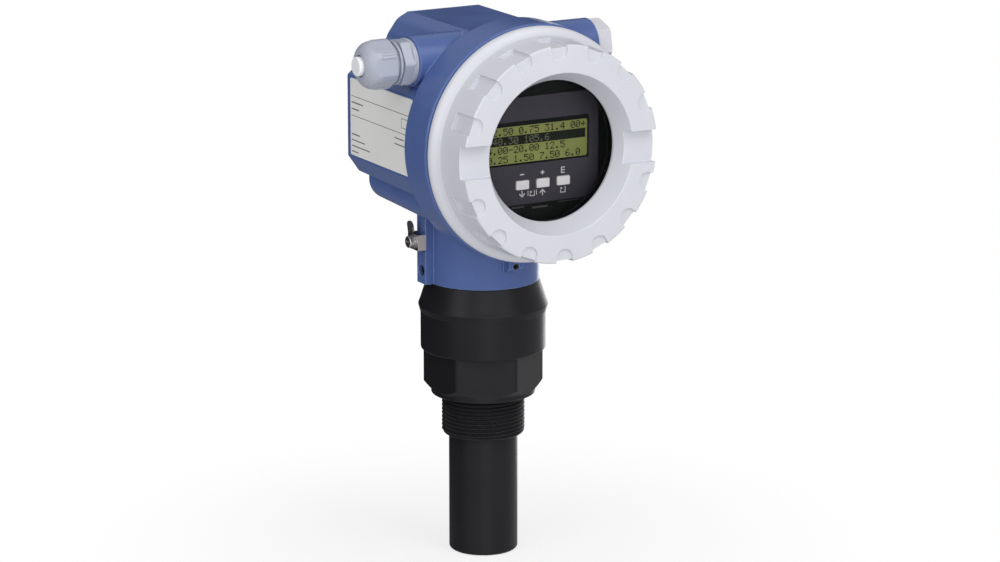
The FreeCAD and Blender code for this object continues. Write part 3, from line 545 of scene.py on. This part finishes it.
def nut_ribs():
    """Three small ribs on each corner of the dome nut, which narrow its flats."""
    sides = 6
    side_angle = 360 / sides
    base = Vector((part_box("gland_nut")[1].x, gland_axis.y, gland_axis.z))
    first_corner = first_flat("gland_nut") + side_angle / 2
    maker = bmesh.new()
    for side in range(sides):
        for offset in (-7.5, 0.0, 7.5):
            add_rib(maker, base, first_corner + side_angle * side + offset, half_angle=2.0,
                    inner=12.2, outer=13.85, start=0.9, end=11.6, slope=2.2)
    bmesh.ops.recalc_face_normals(maker, faces=maker.faces)
    new_piece("gland_nut_ribs", maker, "gland_nut", finishes["gland_plastic"])


# Display

DOTS = {
    "0": "01110 10001 10011 10101 11001 10001 01110",
    "1": "00100 01100 00100 00100 00100 00100 01110",
    "2": "01110 10001 00001 00010 00100 01000 11111",
    "3": "11111 00010 00100 00010 00001 10001 01110",
    "4": "00010 00110 01010 10010 11111 00010 00010",
    "5": "11111 10000 11110 00001 00001 10001 01110",
    "6": "00110 01000 10000 11110 10001 10001 01110",
    "7": "11111 00001 00010 00100 01000 01000 01000",
    "8": "01110 10001 10001 01110 10001 10001 01110",
    "9": "01110 10001 10001 01111 00001 00010 01100",
    ".": "00000 00000 00000 00000 00000 01100 01100",
    "-": "00000 00000 00000 11111 00000 00000 00000",
    "+": "00000 00100 00100 11111 00100 00100 00000",
    ">": "01000 00100 00010 00001 00010 00100 01000",
    " ": "00000 00000 00000 00000 00000 00000 00000",
}
screen_half_width = 32.2
screen_bottom = -8.5
screen_top = 12.3
screen_corner = 1.2
screen_thickness = 0.06
row_height = (screen_top - screen_bottom) / 4
dot_pitch = 0.56
letter_height = 7 * dot_pitch
letter_pitch = 3.3
text_left = -31.2


def dot_row(text, row):
    """Squares of one text row, counted from the top."""
    squares = []
    top = screen_top - (row + 0.5) * row_height + letter_height / 2
    for place, letter in enumerate(text):
        for line, bits in enumerate(DOTS[letter].split()):
            for column, bit in enumerate(bits):
                if bit == "1":
                    u = text_left + place * letter_pitch + column * dot_pitch
                    v = top - (line + 1) * dot_pitch
                    squares.append(bar(u, v, u + dot_pitch, v + dot_pitch))
    return squares


def lcd():
    """Screen with three dark rows of numbers, and a dark band with a light row."""
    screen = rounded_bar(-screen_half_width, screen_bottom, screen_half_width, screen_top,
                         screen_corner)
    band_top = screen_top - row_height
    band_right = screen_half_width - screen_corner
    band = bar(-screen_half_width, band_top - row_height, band_right, band_top)
    dark = dot_row("12.50 0.75 31.4 00+", 0)
    dark += dot_row("4.00-20.00 12.5", 2)
    dark += dot_row("0.25 1.50 7.50 6.0", 3)
    light = dot_row(">48.30 105.6", 1)
    for name, outlines, layers, finish in (
        ("lcd_screen", [screen], 1, lcd_green),
        ("lcd_band", [band], 2, lcd_dark),
        ("lcd_digits", dark, 2, lcd_dark),
        ("lcd_digits_inverse", light, 3, lcd_dim),
    ):
        printed(name, lcd_face, outlines, layers * screen_thickness, finish)


def arrow(u, v, direction):
    """Stem and open head of an arrow about a middle point, pointing up (1) or down (-1)."""
    half_length = 1.9
    half_stem = 0.28
    reach = 1.71
    drop = reach * direction
    thick = 0.9 * direction
    tip = v + half_length * direction
    strokes = [bar(u - half_stem, v - half_length, u + half_stem, v + half_length)]
    for side in (u - reach, u + reach):
        strokes.append([(u, tip), (u, tip - thick), (side, tip - thick - drop), (side, tip - drop)])
    return strokes


def return_mark(u, v, size):
    """Small open square with a dot in its corner, the mark of an enter key."""
    line = 0.42
    left, right = u - size / 2, u + size / 2
    low, high = v - size / 2, v + size / 2
    return [
        bar(left, low, right, low + line),
        bar(right - line, low + line, right, high),
        bar(left, low + line, left + line, v),
        bar(left + 0.6 * line, high - 3.2 * line, left + 3 * line, high - 0.8 * line),
    ]


def key_middle(name):
    """Place of a key on the panel face."""
    place = middle(name) - cover_axis
    return place.x / MM, place.z / MM


def plus_mark(u, v):
    half = 1.2
    line = 0.32
    return [
        bar(u - half, v - line, u + half, v + line),
        bar(u - line, v + line, u + line, v + half),
        bar(u - line, v - half, u + line, v - line),
    ]


def letter_e(u, v):
    half_width = 1.2
    half_height = 1.8
    stroke = 0.56
    left = u - half_width
    strokes = [bar(left, v - half_height, left + stroke, v + half_height)]
    for lift in (-half_height, -stroke / 2, half_height - stroke):
        strokes.append(bar(left + stroke, v + lift, u + half_width, v + lift + stroke))
    return strokes


def panel_marks():
    """Generic marks above and below the three keys."""
    above = 5.9
    below = 5.3
    minus_half = 1.3
    minus_line = 0.32
    bracket_inner = 2.5
    bracket_outer = 2.9
    bracket_down = 1.2
    bracket_up = 1.6
    minus_u, key_v = key_middle("key_minus")
    plus_u = key_middle("key_plus")[0]
    enter_u = key_middle("key_enter")[0]
    between = (minus_u + plus_u) / 2
    top = key_v + above
    low = key_v - below
    marks = [bar(minus_u - minus_half, top - minus_line, minus_u + minus_half, top + minus_line)]
    marks += plus_mark(plus_u, top)
    marks += letter_e(enter_u, top)
    for inner, outer in ((-bracket_outer, -bracket_inner), (bracket_inner, bracket_outer)):
        marks.append(bar(between + inner, low - bracket_down, between + outer, low + bracket_up))
    marks += arrow(minus_u, low, -1)
    marks += arrow(plus_u, low, 1)
    marks += return_mark(enter_u, low, size=3.4)
    marks += return_mark(between, low, size=3.2)
    printed("panel_marks", panel_face, marks, 0.04, ink_white)


def holder_marks():
    """Faint short lines moulded below the panel."""
    marks = [
        bar(-15.3, -34.4, -7.9, -33.5),
        bar(-2.5, -35.5, 7.4, -34.5),
        bar(14.0, -33.6, 31.0, -33.2),
    ]
    printed("holder_marks", holder_face, marks, 0.10, ink_dim)


# Nameplate

def frame_bars(left, low, right, high, line):
    """Four bars round a blank field."""
    return [
        bar(left, low, right, low + line),
        bar(left, high - line, right, high),
        bar(left, low + line, left + line, high - line),
        bar(right - line, low + line, right, high - line),
    ]


def note_bars(left, half_line, rows):
    """Bars that start at one place, with a height and a width for each."""
    return [bar(left, v - half_line, left + width, v + half_line) for v, width in rows]


def plate_print():
    """Plain rules and blank fields, with no words."""
    left = -44.0
    right = 28.0
    second_column = 8.0
    field_right = right - 3.0
    field_left = field_right - 9.0
    thickness = 0.03
    rules = note_bars(left, 0.16, ((16.0, right - left), (4.8, right - left)))
    rules += frame_bars(field_left, 8.0, field_right, 13.6, line=0.3)
    notes = note_bars(left, 0.40, ((12.4, 14), (8.6, 9), (-6.0, 10)))
    notes += note_bars(left, 0.35, ((-9.4, 16), (-12.8, 22), (-16.0, 8)))
    notes += note_bars(second_column, 0.35, ((1.2, 11), (-2.2, 15)))
    printed("nameplate_rules", plate_face, rules, thickness, ink_dim)
    printed("nameplate_notes", plate_face, notes, thickness, ink_grey)


# Stage, light and camera, in metres

def floor():
    """Pale round floor that fades into the white background."""
    radius = 0.9
    gap = 0.0002
    solid_to = 0.03
    clear_from = 0.26
    cover = 0.26
    maker = bmesh.new()
    bmesh.ops.create_circle(maker, cap_ends=True, segments=96, radius=radius)
    mesh = bpy.data.meshes.new("floor")
    maker.to_mesh(mesh)
    maker.free()
    ground = bpy.data.objects.new("floor", mesh)
    ground.location = (0, 0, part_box("sensor_body")[0].z - gap)
    scene.collection.objects.link(ground)
    material, tree, shader = new_shader("floor")
    tint = ramp(tree, noise(tree, 60), (0.93, 0.93, 0.93), (0.96, 0.96, 0.96))
    tree.links.new(tint, shader.inputs["Base Color"])
    shader.inputs["Roughness"].default_value = 0.9
    shader.inputs["Specular IOR Level"].default_value = 0.0
    place = tree.nodes.new("ShaderNodeTexCoord")
    distance = tree.nodes.new("ShaderNodeVectorMath")
    distance.operation = "LENGTH"
    tree.links.new(place.outputs["Object"], distance.inputs[0])
    fade = map_range(tree, distance.outputs["Value"], (solid_to, clear_from), (cover, 0.0), True)
    tree.links.new(fade, shader.inputs["Alpha"])
    dress(ground, material)


def combine(tree, operation, first, second):
    node = tree.nodes.new("ShaderNodeMath")
    node.operation = operation
    tree.links.new(first, node.inputs[0])
    tree.links.new(second, node.inputs[1])
    return node.outputs["Value"]


def choose(tree, factor, plain, special):
    """Plain at factor 0 and special at factor 1, each a number or a socket."""
    node = tree.nodes.new("ShaderNodeMix")
    for socket, value in (("Factor", factor), ("A", plain), ("B", special)):
        if isinstance(value, float):
            node.inputs[socket].default_value = value
        else:
            tree.links.new(value, node.inputs[socket])
    return node.outputs["Result"]


def world_light():
    """Soft pale surroundings, white to the camera. Gloss reflects them with a dark belt behind."""
    away_from_camera = (-0.271, 0.962, 0)
    white = 1.0
    pale_gloss = 0.58
    dark_gloss = 0.02
    soft_below = 0.52
    soft_above = 0.40
    world = bpy.data.worlds.new("studio")
    scene.world = world
    world.use_nodes = True
    tree = world.node_tree
    background = tree.nodes["Background"]
    background.inputs["Color"].default_value = (1, 1, 1, 1)
    place = tree.nodes.new("ShaderNodeTexCoord")
    parts = tree.nodes.new("ShaderNodeSeparateXYZ")
    tree.links.new(place.outputs["Generated"], parts.inputs["Vector"])
    height = parts.outputs["Z"]
    backward = tree.nodes.new("ShaderNodeVectorMath")
    backward.operation = "DOT_PRODUCT"
    backward.inputs[1].default_value = away_from_camera
    tree.links.new(place.outputs["Generated"], backward.inputs[0])
    behind = map_range(tree, backward.outputs["Value"], (0.10, 0.45), (0.0, 1.0), smooth=True)
    below_top = map_range(tree, height, (0.30, 0.55), (1.0, 0.0), smooth=True)
    above_floor = map_range(tree, height, (-0.45, -0.30), (0.70, 1.0), smooth=True)
    belt = combine(tree, "MULTIPLY", behind, combine(tree, "MULTIPLY", below_top, above_floor))
    mirrored = map_range(tree, belt, (0.0, 1.0), (pale_gloss, dark_gloss))
    soft = map_range(tree, height, (-0.6, 0.8), (soft_below, soft_above))
    ray = tree.nodes.new("ShaderNodeLightPath").outputs
    clear = combine(tree, "MAXIMUM", ray["Is Camera Ray"], ray["Is Transmission Ray"])
    lit = choose(tree, ray["Is Glossy Ray"], soft, mirrored)
    tree.links.new(choose(tree, clear, lit, white), background.inputs["Strength"])


def point_at(thing, target, azimuth, elevation, distance):
    """Links a lamp or camera, looking at a target. Azimuth 0 is on the side of -Y, 90 of +X."""
    a = math.radians(azimuth)
    e = math.radians(elevation)
    back = Vector((math.sin(a) * math.cos(e), -math.cos(a) * math.cos(e), math.sin(e)))
    thing.location = target + back * distance
    thing.rotation_mode = "QUATERNION"
    thing.rotation_quaternion = back.to_track_quat("Z", "Y")
    scene.collection.objects.link(thing)


def softbox(name, azimuth, elevation, power, width=0.9, height=0.9):
    """Area lamp aimed at the middle of the object, with a power in watts."""
    distance = 1.7
    lamp = bpy.data.lights.new(name, "AREA")
    lamp.shape = "RECTANGLE"
    lamp.size = width
    lamp.size_y = height
    lamp.energy = power
    holder = bpy.data.objects.new(name, lamp)
    point_at(holder, (cad_low + cad_high) / 2, azimuth, elevation, distance)


def softboxes():
    softbox("left", azimuth=-74, elevation=20, power=4.3)
    softbox("left_high", azimuth=-50, elevation=50, power=3.4)
    softbox("front", azimuth=-25, elevation=10, power=4.7)
    softbox("right", azimuth=10, elevation=15, power=3.6)
    softbox("high", azimuth=20, elevation=50, power=8.0)
    softbox("low", azimuth=-15, elevation=-35, power=2.2)
    softbox("back", azimuth=135, elevation=-8, power=7.0, width=1.1, height=0.7)


def camera():
    """The photograph's view, with its aim point in the middle of the picture."""
    aim = Vector((8.42, -4.73, 64.8)) * MM
    lens = bpy.data.cameras.new("camera")
    lens.lens = 144.0
    lens.sensor_width = 36.0
    eye = bpy.data.objects.new("camera", lens)
    point_at(eye, aim, azimuth=-29.3, elevation=13.94, distance=2.2864)
    scene.camera = eye


threads()
nut_ribs()
lcd()
panel_marks()
holder_marks()
plate_print()
floor()
world_light()
softboxes()
camera()
bpy.context.scene.view_settings.view_transform = "Standard"
